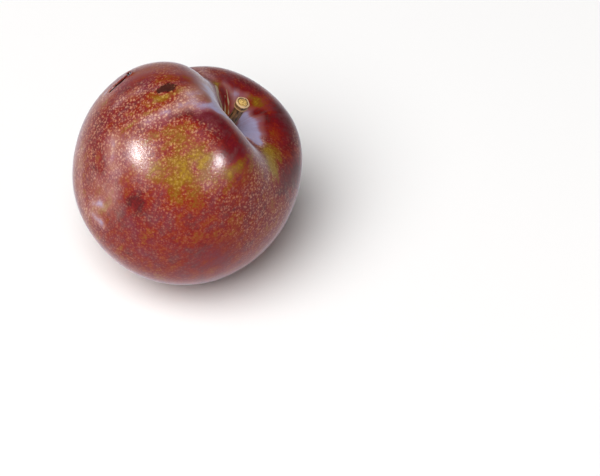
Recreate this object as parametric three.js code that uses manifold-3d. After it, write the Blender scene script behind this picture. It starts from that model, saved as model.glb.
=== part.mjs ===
// A ripe plum, as picked, lying on its side with its stalk end up and to the right.
// Units are millimetres and +Z is up. The origin is the middle of the small flat spot it rests on.
import * as THREE from 'three';
import { mergeVertices } from 'three/addons/utils/BufferGeometryUtils.js';
import Module from 'manifold-3d';

// ---- the fruit's body, in its own frame: stalk axis up, seam towards +X, left lobe towards +Y ----
const SEAM_HALF = 29.7; // half width through the seam
const LEFT_HALF = 29.3; // half width of the lobe on the seam's left
const RIGHT_HALF = 29.9; // half width of the lobe on the seam's right
const AXIS_HALF = 30.7; // half height along the stalk axis, before the hollow is taken away
const SQUARENESS = 2.13; // 2 is an ellipsoid, more is squarer in the shoulders
const TOP_HEAVY = 0.05; // how much fuller the stalk end is than the blossom end

// the hollow that the stalk grows from: its depth is a share of the radius, its reaches are angles,
// one for each side, and what is added between the back and the left lobe
const HOLLOW_DEPTH = 0.484;
const HOLLOW_SHARPNESS = 1.5;
const HOLLOW_REACH = { seam: 0.481, back: 0.787, left: 0.564, right: 0.389, backLeft: -0.037 };

// the shoulders that swell round the hollow
const SHOULDER_SWELL = { seam: 0, back: 0.029, left: 0.099, right: 0.065, backLeft: 0.023 };
const SHOULDER_POLAR = 0.677;
const SHOULDER_SPREAD = 0.314;

// the flatter flank, low on the left lobe
const FLANK_DEPTH = 0.062;
const FLANK_POLAR = 2.056;
const FLANK_SPREAD = 0.37;

// the seam: a groove out of the hollow, which fades to a faint line lower down
const SEAM_DEPTH = 0.13;
const SEAM_DEEPEST_POLAR = 0.871;
const SEAM_FADE = 0.471;
const SEAM_LINE = 0.012;
const SEAM_WIDTH = 0.254;
const SEAM_START = 0.08;

// the dimple at the blossom end
const BLOSSOM_DEPTH = 0.03;
const BLOSSOM_REACH = 0.25;

// ---- how the fruit lies ----
const LEAN_DEG = 42; // the stalk axis from upright
const LEAN_TOWARD_DEG = 14; // the way it leans, from +X towards +Y
const SEAM_TURN_DEG = 118; // the body's turn about its own stalk axis
const MIDDLE = new THREE.Vector3(-0.5, 0, 29.5); // the body's middle, above the flat spot

// ---- the stalk: an arc from its socket at the bottom of the hollow ----
const STALK_LENGTH = 13.3;
const STALK_START_DEG = 12; // its heading from the stalk axis where it starts
const STALK_END_DEG = 30; // and where it ends
const STALK_TOWARD_DEG = 90; // the side it bends to, from the seam towards the left lobe
const STALK_RADIUS = 1.3;
const STALK_FOOT_RADIUS = 1.7;
const STALK_TIP_RADIUS = 1.9;
const STALK_SWELLING = 0.14; // how far the swollen ends reach, as a share of the length
const STALK_RIDGES = 5;
const STALK_RIDGE_HEIGHT = 0.05;
const SOCKET_DEPTH = 2.0;
const SOCKET_GAP = 0.3;
const SOCKET_LENGTH = 6.5;

// ---- how finely the surfaces are faceted ----
const BODY_ROWS = 44;
const BODY_COLUMNS = 60;
const CROWDING_TO_STALK = 1.2;
const CROWDING_TO_SEAM = 0.35;
const STALK_ROWS = 16;
const STALK_COLUMNS = 15;
const SOCKET_SIDES = 24;
const GROUND_SIZE = 100;

const SKIN = new THREE.MeshStandardMaterial({ color: 0x7d3a30, roughness: 0.35, metalness: 0 });
const BARK = new THREE.MeshStandardMaterial({ color: 0x8a6844, roughness: 0.8, metalness: 0 });

const radians = THREE.MathUtils.degToRad;
const hump = (value, middle, spread) => Math.exp(-(((value - middle) / spread) ** 2));

function direction(polar, round) {
  const reach = Math.sin(polar);
  return new THREE.Vector3(reach * Math.cos(round), reach * Math.sin(round), Math.cos(polar));
}

// The body's radius from its middle: polar is the angle down from the stalk axis, and round the
// angle about that axis, from the seam towards the left lobe.
function bodyRadius(polar, round) {
  const { x, y, z } = direction(polar, round);
  const share = {
    seam: Math.max(Math.cos(round), 0) ** 2,
    back: Math.max(-Math.cos(round), 0) ** 2,
    left: Math.max(Math.sin(round), 0) ** 2,
    right: Math.max(-Math.sin(round), 0) ** 2,
  };
  share.backLeft = 4 * share.back * share.left;
  const blend = (sides) => Object.keys(share).reduce((sum, side) => sum + sides[side] * share[side], 0);

  const lobeHalf = LEFT_HALF + (RIGHT_HALF - LEFT_HALF) * share.right;
  const ratios = [x / SEAM_HALF, y / lobeHalf, z / AXIS_HALF];
  const power = ratios.reduce((sum, ratio) => sum + Math.abs(ratio) ** SQUARENESS, 0);
  const egg = power ** (-1 / SQUARENESS) * (1 + TOP_HEAVY * z);

  const hollow = HOLLOW_DEPTH * Math.exp(-((polar / blend(HOLLOW_REACH)) ** HOLLOW_SHARPNESS));
  const shoulder = blend(SHOULDER_SWELL) * hump(polar, SHOULDER_POLAR, SHOULDER_SPREAD);
  const onSeamSide = 1 / (1 + Math.exp(-x / SEAM_START));
  const seamDepth = SEAM_DEPTH * hump(polar, SEAM_DEEPEST_POLAR, SEAM_FADE) + SEAM_LINE;
  const seam = seamDepth * hump(y, 0, SEAM_WIDTH) * onSeamSide;
  const blossom = BLOSSOM_DEPTH * hump(Math.PI - polar, 0, BLOSSOM_REACH);
  const flank = FLANK_DEPTH * hump(polar, FLANK_POLAR, FLANK_SPREAD) * share.left;
  return egg * (1 - hollow - seam - blossom - flank + shoulder);
}

const bodyPoint = (polar, round) => direction(polar, round).multiplyScalar(bodyRadius(polar, round));

// A closed skin over rings of points, listed from the top end down, with a single point at each end.
function closedSkin(top, rings, bottom) {
  const points = [top, ...rings.flat(), bottom];
  const count = rings[0].length;
  const at = (ring, i) => 1 + ring * count + (i % count);
  const faces = [];
  for (let i = 0; i < count; i += 1) {
    faces.push(0, at(0, i), at(0, i + 1));
    for (let ring = 0; ring < rings.length - 1; ring += 1) {
      faces.push(at(ring, i), at(ring + 1, i), at(ring + 1, i + 1));
      faces.push(at(ring, i), at(ring + 1, i + 1), at(ring, i + 1));
    }
    faces.push(points.length - 1, at(rings.length - 1, i + 1), at(rings.length - 1, i));
  }
  const geometry = new THREE.BufferGeometry().setFromPoints(points);
  geometry.setIndex(faces);
  return geometry;
}

// Rows crowd towards the stalk, and columns towards the seam, where the surface bends most.
function bodyGeometry() {
  const rings = [];
  for (let row = 1; row < BODY_ROWS; row += 1) {
    const polar = Math.PI * (row / BODY_ROWS) ** CROWDING_TO_STALK;
    const ring = [];
    for (let column = 0; column < BODY_COLUMNS; column += 1) {
      const even = (2 * Math.PI * column) / BODY_COLUMNS;
      ring.push(bodyPoint(polar, even - CROWDING_TO_SEAM * Math.sin(even)));
    }
    rings.push(ring);
  }
  return closedSkin(bodyPoint(0, 0), rings, bodyPoint(Math.PI, 0));
}

// The stalk stands at the origin of its own frame and bends towards +X.
function stalkGeometry() {
  const start = radians(STALK_START_DEG);
  const bend = radians(STALK_END_DEG) - start;
  const arcRadius = STALK_LENGTH / bend;
  const middleAt = (heading) => new THREE.Vector3(
    arcRadius * (Math.cos(start) - Math.cos(heading)),
    0,
    arcRadius * (Math.sin(heading) - Math.sin(start)),
  );
  const rings = [];
  for (let row = 0; row <= STALK_ROWS; row += 1) {
    const along = row / STALK_ROWS;
    const heading = start + bend * along;
    const foot = (STALK_FOOT_RADIUS - STALK_RADIUS) * hump(along, 0, STALK_SWELLING);
    const tip = (STALK_TIP_RADIUS - STALK_RADIUS) * hump(along, 1, STALK_SWELLING);
    const ring = [];
    for (let column = 0; column < STALK_COLUMNS; column += 1) {
      const round = (2 * Math.PI * column) / STALK_COLUMNS;
      const ridge = STALK_RIDGE_HEIGHT * Math.cos(STALK_RIDGES * round);
      const radius = (STALK_RADIUS + foot + tip) * (1 + ridge);
      const point = new THREE.Vector3(radius * Math.cos(round), radius * Math.sin(round), 0);
      ring.push(point.applyAxisAngle(new THREE.Vector3(0, 1, 0), heading).add(middleAt(heading)));
    }
    rings.unshift(ring);
  }
  return closedSkin(middleAt(start + bend), rings, middleAt(start));
}

// The plain hole that the stalk's foot stands in, in the stalk's frame.
function socketGeometry() {
  const radius = STALK_FOOT_RADIUS + SOCKET_GAP;
  const hole = new THREE.CylinderGeometry(radius, radius, SOCKET_LENGTH, SOCKET_SIDES);
  hole.rotateX(Math.PI / 2);
  hole.translate(0, 0, SOCKET_LENGTH / 2 - SOCKET_GAP);
  return hole.rotateY(radians(STALK_START_DEG));
}

// Everything below the surface that the fruit lies on.
function groundGeometry() {
  const ground = new THREE.BoxGeometry(GROUND_SIZE, GROUND_SIZE, GROUND_SIZE);
  return ground.translate(0, 0, -GROUND_SIZE / 2);
}

const wasm = await Module();
wasm.setup();

function toSolid(geometry) {
  const bare = geometry.clone();
  bare.deleteAttribute('normal');
  bare.deleteAttribute('uv');
  const merged = mergeVertices(bare);
  const vertProperties = new Float32Array(merged.attributes.position.array);
  const triVerts = new Uint32Array(merged.index.array);
  return new wasm.Manifold(new wasm.Mesh({ numProp: 3, vertProperties, triVerts }));
}

function toGeometry(solid) {
  const { vertProperties, triVerts } = solid.getMesh();
  const geometry = new THREE.BufferGeometry();
  geometry.setAttribute('position', new THREE.BufferAttribute(new Float32Array(vertProperties), 3));
  geometry.setIndex(new THREE.BufferAttribute(new Uint32Array(triVerts), 1));
  return geometry;
}

function namedMesh(name, geometry, material) {
  geometry.computeVertexNormals();
  const mesh = new THREE.Mesh(geometry, material);
  mesh.name = name;
  return mesh;
}

// The fruit's frame in the world, and the stalk's frame in the fruit's.
const lying = new THREE.Matrix4()
  .makeRotationZ(radians(LEAN_TOWARD_DEG))
  .multiply(new THREE.Matrix4().makeRotationY(radians(LEAN_DEG)))
  .multiply(new THREE.Matrix4().makeRotationZ(radians(SEAM_TURN_DEG)))
  .setPosition(MIDDLE);
const standing = new THREE.Matrix4()
  .makeRotationZ(radians(STALK_TOWARD_DEG))
  .setPosition(0, 0, bodyRadius(0, 0) - SOCKET_DEPTH)
  .premultiply(lying);

const fruit = toSolid(bodyGeometry().applyMatrix4(lying))
  .subtract(toSolid(groundGeometry()))
  .subtract(toSolid(socketGeometry().applyMatrix4(standing)));

const plum = new THREE.Group();
plum.name = 'plum';
const stalk = namedMesh('stalk', stalkGeometry(), BARK);
stalk.applyMatrix4(standing);
plum.add(namedMesh('fruit', toGeometry(fruit), SKIN), stalk);

export default plum;
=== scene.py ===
# %% [markdown]
# # A plum with its stalk
# A plum is two things that grew together: a round fruit with a tight, waxy skin, and a short woody
# stalk that stands in a hollow at its top. This lesson builds both at real size, and spends most
# of its cells on the skin, because that is what makes a plum look like a plum.
#
# The first cell loads the finished solid model. It is the frame that everything is built around,
# so its box is kept, to be compared with the box of what is made here.

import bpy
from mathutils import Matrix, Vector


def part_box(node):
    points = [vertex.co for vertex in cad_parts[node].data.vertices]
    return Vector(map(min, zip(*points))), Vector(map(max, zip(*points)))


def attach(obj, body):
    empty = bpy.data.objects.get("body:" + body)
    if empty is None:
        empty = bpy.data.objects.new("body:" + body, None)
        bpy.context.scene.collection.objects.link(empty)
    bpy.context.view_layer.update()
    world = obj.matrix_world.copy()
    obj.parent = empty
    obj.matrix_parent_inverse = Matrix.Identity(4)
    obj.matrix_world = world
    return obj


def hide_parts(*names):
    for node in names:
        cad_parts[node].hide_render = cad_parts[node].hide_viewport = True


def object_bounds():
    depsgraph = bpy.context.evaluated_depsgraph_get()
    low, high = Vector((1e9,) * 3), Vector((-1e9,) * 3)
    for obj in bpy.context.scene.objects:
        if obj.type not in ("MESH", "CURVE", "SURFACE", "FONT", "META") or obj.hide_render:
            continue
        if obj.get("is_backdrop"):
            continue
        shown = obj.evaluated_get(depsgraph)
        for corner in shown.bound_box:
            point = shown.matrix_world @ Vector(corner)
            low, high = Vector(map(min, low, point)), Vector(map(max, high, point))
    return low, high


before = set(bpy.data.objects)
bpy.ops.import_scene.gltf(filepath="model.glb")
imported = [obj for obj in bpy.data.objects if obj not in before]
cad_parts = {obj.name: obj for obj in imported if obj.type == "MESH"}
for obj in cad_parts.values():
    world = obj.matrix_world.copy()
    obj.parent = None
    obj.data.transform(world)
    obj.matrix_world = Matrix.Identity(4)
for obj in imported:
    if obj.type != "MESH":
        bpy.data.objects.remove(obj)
cad_box = [list(corner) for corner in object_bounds()]

import math

import bmesh
import bpy
import numpy as np
from mathutils import Matrix, Vector, noise

print("solid model, size in mm:", [round(1000 * (b - a), 1) for a, b in zip(*cad_box)])

# %% [markdown]
# ## The fruit's own frame
# A fruit is easiest to describe about its stalk axis. So the body has its own frame, with the
# stalk axis up, the seam towards +X and the lobe on the seam's left towards +Y. Only then is it
# laid down on its side. Sizes are in millimetres, as a ruler gives them, and become metres at the end.

# %% The lie of the fruit
MM = 0.001
MIDDLE = Vector((-0.5, 0.0, 29.5))  # the body's middle, above the small flat spot it rests on
LEAN = math.radians(42)  # the stalk axis from upright
LEAN_TOWARD = math.radians(14)  # the way it leans, from +X towards +Y
SEAM_TURN = math.radians(118)  # the body's turn about its own stalk axis

LYING = (
    Matrix.Translation(MIDDLE * MM)
    @ Matrix.Rotation(LEAN_TOWARD, 4, "Z")
    @ Matrix.Rotation(LEAN, 4, "Y")
    @ Matrix.Rotation(SEAM_TURN, 4, "Z")
)


def toward(polar, around):
    """The unit vector at two angles in degrees: down from the stalk axis, and round from the seam."""
    p, r = math.radians(polar), math.radians(around)
    return Vector((math.sin(p) * math.cos(r), math.sin(p) * math.sin(r), math.cos(p)))


# %% [markdown]
# ## One helper for every node
# Nodes are usually placed by hand. In a script, one small function does it all: it adds a node,
# sets its properties, and fills its inputs with numbers or with links from other nodes. A node
# given as an input stands for its first output that is in use.

# %% A helper that adds a node
NODES_IN_ROW = 24
NODE_STEP = (220, -320)  # how far apart the nodes lie in the editor


def add(tree, kind, inputs=None, **settings):
    """Adds a node. Inputs go by name, or by number where two have the same name."""
    node = tree.nodes.new(kind)
    row, place = divmod(len(tree.nodes), NODES_IN_ROW)
    node.location = (place * NODE_STEP[0], row * NODE_STEP[1])
    for name, value in settings.items():
        setattr(node, name, value)
    for name, value in (inputs or {}).items():
        named = [s for s in node.inputs if s.name == name and s.enabled]
        socket = node.inputs[name] if isinstance(name, int) else named[0]
        if isinstance(value, bpy.types.Node):
            value = next(s for s in value.outputs if s.enabled)
        if isinstance(value, bpy.types.NodeSocket):
            tree.links.new(value, socket)
        else:
            socket.default_value = value
    return node


# %% [markdown]
# ## A formula as a list of steps
# The fruit's surface is a formula, and so is each layer of its colour. A formula in nodes is many
# small steps. Written as a list, each step reads as a line of arithmetic: its name, what is done,
# and with what. One loop then turns the list into nodes. Besides arithmetic there are three kinds
# of step: MIX goes from one number to another, OVER lays one colour over another, and MASK gives a
# share with a soft edge: 0 at its second term, and the fourth term, or else 1, at its third.

# %% A helper that follows the steps
STEP_KINDS = {  # the node, its settings, and the inputs that the terms go to
    "MIX": ("ShaderNodeMix", {"data_type": "FLOAT"}, (0, 2, 3)),
    "OVER": ("ShaderNodeMix", {"data_type": "RGBA"}, (0, 6, 7)),
    "MASK": ("ShaderNodeMapRange", {"interpolation_type": "SMOOTHSTEP"}, (0, 1, 2, 4)),
}


def work_out(tree, known, steps):
    """Adds a node for each step. A term is a number, or the name of something already known."""
    for name, done, *terms in steps:
        arithmetic = ("ShaderNodeMath", {"operation": done}, (0, 1, 2))
        kind, settings, places = STEP_KINDS.get(done, arithmetic)
        inputs = {place: known.get(term, term) for place, term in zip(places, terms)}
        known[name] = add(tree, kind, inputs, **settings)


# %% [markdown]
# Sizes belong on the tree itself, as inputs with names, which the modifier that runs the tree sets.
# A second small helper makes a tree that way.

# %% A new tree with named sizes
def new_tree(name, sizes, ends=("Geometry", "NodeSocketGeometry")):
    """A Geometry Nodes tree with one named input for each size. Gives the tree and its inputs."""
    tree = bpy.data.node_groups.new(name, "GeometryNodeTree")
    for size, value in sizes.items():
        socket = tree.interface.new_socket(size, in_out="INPUT", socket_type="NodeSocketFloat")
        socket.default_value = value
    tree.interface.new_socket(ends[0], in_out="OUTPUT", socket_type=ends[1])
    start = add(tree, "NodeGroupInput")
    return tree, {socket.name: socket for socket in start.outputs if socket.name}


# %% [markdown]
# ## A bump as a node group
# The same soft bump, high in the middle and fading to both sides, shapes the shoulders, the seam,
# the blossom end and the swollen ends of the stalk. A node group is the node editor's word for a
# function: it is made once and used wherever that bump is needed, here as one more kind of step.

# %% The soft hump
HUMP_SIZES = {"value": 0.0, "middle": 0.0, "spread": 1.0}
hump, known = new_tree("Hump", HUMP_SIZES, ("hump", "NodeSocketFloat"))
work_out(hump, known, [
    ("away", "SUBTRACT", "value", "middle"),
    ("away", "DIVIDE", "away", "spread"),
    ("away", "MULTIPLY", "away", "away"),
    ("away", "MULTIPLY", "away", -1.0),
    ("hump", "EXPONENT", "away"),
])
add(hump, "NodeGroupOutput", {"hump": known["hump"]})
STEP_KINDS["HUMP"] = ("GeometryNodeGroup", {"node_tree": hump}, (0, 1, 2))
print("the hump has", len(hump.nodes), "nodes")

# %% [markdown]
# ## The body: a rule for the radius
# A plum can be sculpted by hand, but its form follows a rule well: an egg, with a hollow where the
# stalk grows, shoulders that swell round the hollow, a groove where the two lobes meet, and a
# dimple at the far end. So the body starts as a sphere, and each of its points is moved in or out
# to the radius that the rule gives. That is a job for Geometry Nodes, with the sizes as inputs.
#
# The halves, the undulation and the inset are in millimetres. Polars, reaches and spreads are
# angles in radians, and depths and swells are shares of the radius. The seam's width and its start
# are measured on the sphere of radius 1.

# %% The body's sizes
BODY_SIZES = {
    "seam half": 29.7, "left half": 29.3, "right half": 29.9, "axis half": 30.7,
    "squareness": 2.13, "top heavy": 0.05,
    "hollow depth": 0.484, "hollow sharpness": 1.5,
    "reach seam": 0.481, "reach back": 0.787, "reach left": 0.564, "reach right": 0.389,
    "reach back left": -0.037,
    "swell back": 0.029, "swell left": 0.099, "swell right": 0.065, "swell back left": 0.023,
    "shoulder polar": 0.677, "shoulder spread": 0.314,
    "flank depth": 0.062, "flank polar": 2.056, "flank spread": 0.37,
    "seam depth": 0.13, "seam deepest": 0.871, "seam fade": 0.471,
    "seam line": 0.012, "seam width": 0.254, "seam start": 0.08,
    "blossom depth": 0.03, "blossom reach": 0.25,
    "foot depth": 0.05, "foot reach": 0.15,
    "undulation": 0.24, "undulation scale": 3.0, "inset": 0.08,
}
BODY_SEGMENTS = 416
BODY_RINGS = 208

body_tree, known = new_tree("Plum body", BODY_SIZES)
sphere = add(body_tree, "GeometryNodeMeshUVSphere",
             {"Segments": BODY_SEGMENTS, "Rings": BODY_RINGS, "Radius": 1.0})
position = add(body_tree, "GeometryNodeInputPosition")
parts = add(body_tree, "ShaderNodeSeparateXYZ", {"Vector": position})
known.update(x=parts.outputs["X"], y=parts.outputs["Y"], z=parts.outputs["Z"])

# %% [markdown]
# First the egg. Two angles say where a point is, and where it is between the seam and the lobes.
# A power a little over 2 makes the egg slightly square in the shoulders.

# %% The egg
work_out(body_tree, known, [
    ("polar", "ARCCOSINE", "z"),
    ("around", "ARCTAN2", "y", "x"),
    ("across", "SINE", "around"),
    ("across", "MULTIPLY", "across", "across"),
    ("seamward", "GREATER_THAN", "x", 0.0),
    ("leftward", "GREATER_THAN", "y", 0.0),
    ("rightness", "SUBTRACT", 1.0, "leftward"),
    ("rightness", "MULTIPLY", "rightness", "across"),
    ("leftness", "MULTIPLY", "leftward", "across"),
    ("back left", "SUBTRACT", 1.0, "seamward"),
    ("back left", "SUBTRACT", "back left", "across"),
    ("back left", "MAXIMUM", "back left", 0.0),
    ("back left", "MULTIPLY", "back left", "leftness"),
    ("back left", "MULTIPLY", "back left", 4.0),
    ("lobe half", "MIX", "rightness", "left half", "right half"),
])
for axis, half in (("x", "seam half"), ("y", "lobe half"), ("z", "axis half")):
    work_out(body_tree, known, [
        (axis + " share", "DIVIDE", axis, half),
        (axis + " share", "ABSOLUTE", axis + " share"),
        (axis + " share", "POWER", axis + " share", "squareness"),
    ])
work_out(body_tree, known, [
    ("egg", "ADD", "x share", "y share"),
    ("egg", "ADD", "egg", "z share"),
    ("root", "DIVIDE", -1.0, "squareness"),
    ("egg", "POWER", "egg", "root"),
    ("fullness", "MULTIPLY_ADD", "z", "top heavy", 1.0),
    ("egg", "MULTIPLY", "egg", "fullness"),
])

# %% [markdown]
# Then what is taken from the egg or added to it, each as a share of its radius. The hollow is
# steeper on the lobes' sides than behind, so its reach depends on the side that a point is on. The
# left lobe is also flatter low on its flank.

# %% The hollow and the shoulders
work_out(body_tree, known, [
    ("reach", "MIX", "seamward", "reach back", "reach seam"),
    ("lobe reach", "MIX", "leftward", "reach right", "reach left"),
    ("reach", "MIX", "across", "reach", "lobe reach"),
    ("reach", "MULTIPLY_ADD", "back left", "reach back left", "reach"),
    ("hollow", "DIVIDE", "polar", "reach"),
    ("hollow", "POWER", "hollow", "hollow sharpness"),
    ("hollow", "MULTIPLY", "hollow", -1.0),
    ("hollow", "EXPONENT", "hollow"),
    ("hollow", "MULTIPLY", "hollow", "hollow depth"),
    ("swell", "MIX", "seamward", "swell back", 0.0),
    ("lobe swell", "MIX", "leftward", "swell right", "swell left"),
    ("swell", "MIX", "across", "swell", "lobe swell"),
    ("swell", "MULTIPLY_ADD", "back left", "swell back left", "swell"),
    ("shoulder", "HUMP", "polar", "shoulder polar", "shoulder spread"),
    ("shoulder", "MULTIPLY", "shoulder", "swell"),
    ("flank", "HUMP", "polar", "flank polar", "flank spread"),
    ("flank", "MULTIPLY", "flank", "flank depth"),
    ("flank", "MULTIPLY", "flank", "leftness"),
])

# %% [markdown]
# The seam is a groove that is deep where it leaves the hollow and fades to a faint line. A smooth
# step keeps it to one side of the fruit. The skin also draws in round the foot of the stalk.

# %% The seam, the blossom end and the stalk's foot
work_out(body_tree, known, [
    ("one side", "DIVIDE", "x", "seam start"),
    ("one side", "MULTIPLY", "one side", -1.0),
    ("one side", "EXPONENT", "one side"),
    ("one side", "ADD", "one side", 1.0),
    ("one side", "DIVIDE", 1.0, "one side"),
    ("groove", "HUMP", "polar", "seam deepest", "seam fade"),
    ("groove", "MULTIPLY_ADD", "groove", "seam depth", "seam line"),
    ("seam", "HUMP", "y", 0.0, "seam width"),
    ("seam", "MULTIPLY", "seam", "groove"),
    ("seam", "MULTIPLY", "seam", "one side"),
    ("blossom", "HUMP", "polar", math.pi, "blossom reach"),
    ("blossom", "MULTIPLY", "blossom", "blossom depth"),
    ("foot", "HUMP", "polar", 0.0, "foot reach"),
    ("foot", "MULTIPLY", "foot", "foot depth"),
])

# %% [markdown]
# The shares come together, and a slow noise of about a tenth of a millimetre keeps the skin from
# looking turned on a lathe, which shows in the shape of its highlights. The solid model has fewer
# and flatter faces, so a small inset keeps this finer body inside its box. Then the points move.

# %% The radius, and the moved points
wander = add(body_tree, "ShaderNodeTexNoise",
             {"Vector": position, "Scale": known["undulation scale"], "Detail": 1.0})
known["wander"] = wander.outputs["Fac"]
work_out(body_tree, known, [
    ("all", "ADD", "shoulder", 1.0),
    ("all", "SUBTRACT", "all", "hollow"),
    ("all", "SUBTRACT", "all", "seam"),
    ("all", "SUBTRACT", "all", "flank"),
    ("all", "SUBTRACT", "all", "blossom"),
    ("all", "SUBTRACT", "all", "foot"),
    ("radius", "MULTIPLY", "egg", "all"),
    ("wander", "SUBTRACT", "wander", 0.5),
    ("radius", "MULTIPLY_ADD", "wander", "undulation", "radius"),
    ("radius", "SUBTRACT", "radius", "inset"),
    ("radius", "MULTIPLY", "radius", MM),
])
moved = add(body_tree, "ShaderNodeVectorMath",
            {0: position, "Scale": known["radius"]}, operation="SCALE")
shaped = add(body_tree, "GeometryNodeSetPosition", {"Geometry": sphere, "Position": moved})
print("the body's tree has", len(body_tree.nodes), "nodes")

# %% [markdown]
# ## Colours, and two empty materials
# Colours are picked as sRGB hex values, as on a colour card, but Blender's sockets take linear
# light. One function turns the one into the other. The materials are filled in further down, and
# the pieces only need them to exist now.

# %% Colours and materials
def linear(hex_colour):
    """An sRGB hex colour as the linear colour that a socket takes."""
    shares = [int(hex_colour[i:i + 2], 16) / 255 for i in (1, 3, 5)]
    return (*[c / 12.92 if c <= 0.04045 else ((c + 0.055) / 1.055) ** 2.4 for c in shares], 1.0)


def new_material(name):
    """An empty material. Gives the material and its node tree."""
    material = bpy.data.materials.new(name)
    material.use_nodes = True
    material.node_tree.nodes.clear()
    return material, material.node_tree


skin_material, skin = new_material("Waxy plum skin")
bark_material, bark = new_material("Dry woody stalk")

# %% [markdown]
# ## From a tree to a plain mesh
# A Geometry Nodes modifier works live, but a finished part is a plain mesh. So each tree ends in
# Realize Instances and Set Material, is run once, and its result is copied into a mesh. The
# modifier's inputs are set by identifier before the first run.

# %% Run a tree and keep its mesh
def end_tree(tree, geometry, material):
    """The last nodes of a tree."""
    smooth = add(tree, "GeometryNodeSetShadeSmooth", {"Geometry": geometry, "Shade Smooth": True})
    real = add(tree, "GeometryNodeRealizeInstances", {"Geometry": smooth})
    painted = add(tree, "GeometryNodeSetMaterial", {"Geometry": real, "Material": material})
    add(tree, "NodeGroupOutput", {"Geometry": painted})


def grow(name, tree, sizes):
    """Runs a tree once with these sizes, and keeps the result as a piece with a plain mesh."""
    piece = bpy.data.objects.new(name, bpy.data.meshes.new(name))
    bpy.context.scene.collection.objects.link(piece)
    modifier = piece.modifiers.new("Shape", "NODES")
    modifier.node_group = tree
    for socket in tree.interface.items_tree:
        if socket.name in sizes:
            modifier[socket.identifier] = sizes[socket.name]
    ready = piece.evaluated_get(bpy.context.evaluated_depsgraph_get())
    mesh = bpy.data.meshes.new_from_object(ready)
    piece.modifiers.remove(modifier)
    piece.data = mesh
    mesh.name = name
    print(name, "has", len(mesh.vertices), "points and", len(mesh.polygons), "faces")
    return piece


end_tree(body_tree, shaped, skin_material)
body = grow("plum_skin_and_flesh", body_tree, BODY_SIZES)

# %% [markdown]
# ## Scars are cut into the mesh
# This plum has two old wounds: a round corky scab, and a short slit whose edge has lifted. They
# are only one to two millimetres wide, a few of the body's faces, so the faces near them are
# divided first. Each wound is a stroke on the skin, drawn by the two angles of its points.

# %% Strokes on the skin
SKIN_RADIUS = 30.0  # mm, to turn an angle on the skin into a distance
TINY = 1e-9  # keeps a stroke of one point from dividing by nothing


def distance_to(directions, points):
    """How far each direction is along the skin, in mm, from a stroke through these points."""
    ends = [np.array(toward(*point)) for point in points]
    nearest = np.full(len(directions), np.inf)
    for a, b in zip(ends, ends[1:] or ends):
        along = b - a
        share = (directions - a) @ along / max(along @ along, TINY)
        on_line = a + np.clip(share, 0, 1)[:, None] * along
        nearest = np.minimum(nearest, np.linalg.norm(directions - on_line, axis=1))
    return nearest * SKIN_RADIUS


def directions_of(mesh):
    """Each point's unit direction from the body's middle, in the fruit's own frame."""
    places = np.empty(3 * len(mesh.vertices))
    mesh.vertices.foreach_get("co", places)
    places = places.reshape(-1, 3)
    return places / np.linalg.norm(places, axis=1)[:, None]


# %% [markdown]
# A Subdivision Surface would divide the whole fruit, and a Boolean would leave long thin faces. So
# only the edges within reach of a stroke are divided, which keeps the rest of the mesh as it is.

# %% Divide the faces near the wounds
SLIT = [(79.5, 42.0), (73.5, 40.5), (68.0, 38.0), (69.0, 34.0)]
SCAB = [(55.0, 64.5), (51.0, 65.0), (50.0, 66.0)]
FINE_REACH = 1.6  # mm
SLIT_CUTS, SCAB_CUTS = 3, 1


def divide_near(mesh, points, reach, cuts):
    """Divides the faces within reach of a stroke."""
    near = distance_to(directions_of(mesh), points) < reach
    work = bmesh.new()
    work.from_mesh(mesh)
    edges = [e for e in work.edges if all(near[v.index] for v in e.verts)]
    bmesh.ops.subdivide_edges(work, edges=edges, cuts=cuts, use_grid_fill=True)
    bmesh.ops.triangulate(work, faces=[f for f in work.faces if len(f.verts) > 4])
    work.to_mesh(mesh)
    work.free()


divide_near(body.data, SLIT, FINE_REACH, SLIT_CUTS)
divide_near(body.data, SCAB, FINE_REACH, SCAB_CUTS)
print("after dividing:", len(body.data.vertices), "points")

# %% [markdown]
# The slit is a narrow groove. On its outer side the skin has dried and lifted into a thin lip. The
# scab sinks a little in the middle, inside a faint raised rim.

# %% Sink the slit and the scab
SLIT_DEPTH, SLIT_WIDTH = 0.7, 0.4  # all in mm, and widths run from a bell's middle to its side
LIP_HEIGHT, LIP_WIDTH = 0.25, 0.8
SCAB_DEPTH, SCAB_RADIUS = 0.22, 1.15
SCAB_HOLLOW = 0.92  # how far the scab sinks in from its middle
RIM_HEIGHT, RIM_WIDTH = 0.08, 0.25
OUTER, INNER = (74, 35), (74, 45.5)  # a place on each side of the slit


def bell(value, middle, spread):
    """The same soft hump as in the node group, for arrays."""
    return np.exp(-(((value - middle) / spread) ** 2))


def move_along(mesh, directions, amounts):
    """Moves each point out by its amount in mm, along its direction."""
    places = np.empty(3 * len(mesh.vertices))
    mesh.vertices.foreach_get("co", places)
    places += (directions * amounts[:, None]).ravel() * MM
    mesh.vertices.foreach_set("co", places)


directions = directions_of(body.data)
from_slit = distance_to(directions, SLIT)
from_scab = distance_to(directions, SCAB)
outer_side = directions @ np.array(toward(*OUTER)) > directions @ np.array(toward(*INNER))
lift = -SLIT_DEPTH * bell(from_slit, 0, SLIT_WIDTH)
lift += LIP_HEIGHT * bell(from_slit, LIP_WIDTH, LIP_WIDTH / 2) * outer_side
lift -= SCAB_DEPTH * bell(from_scab, 0, SCAB_HOLLOW)
lift += RIM_HEIGHT * bell(from_scab, SCAB_RADIUS, RIM_WIDTH)
move_along(body.data, directions, lift)
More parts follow.
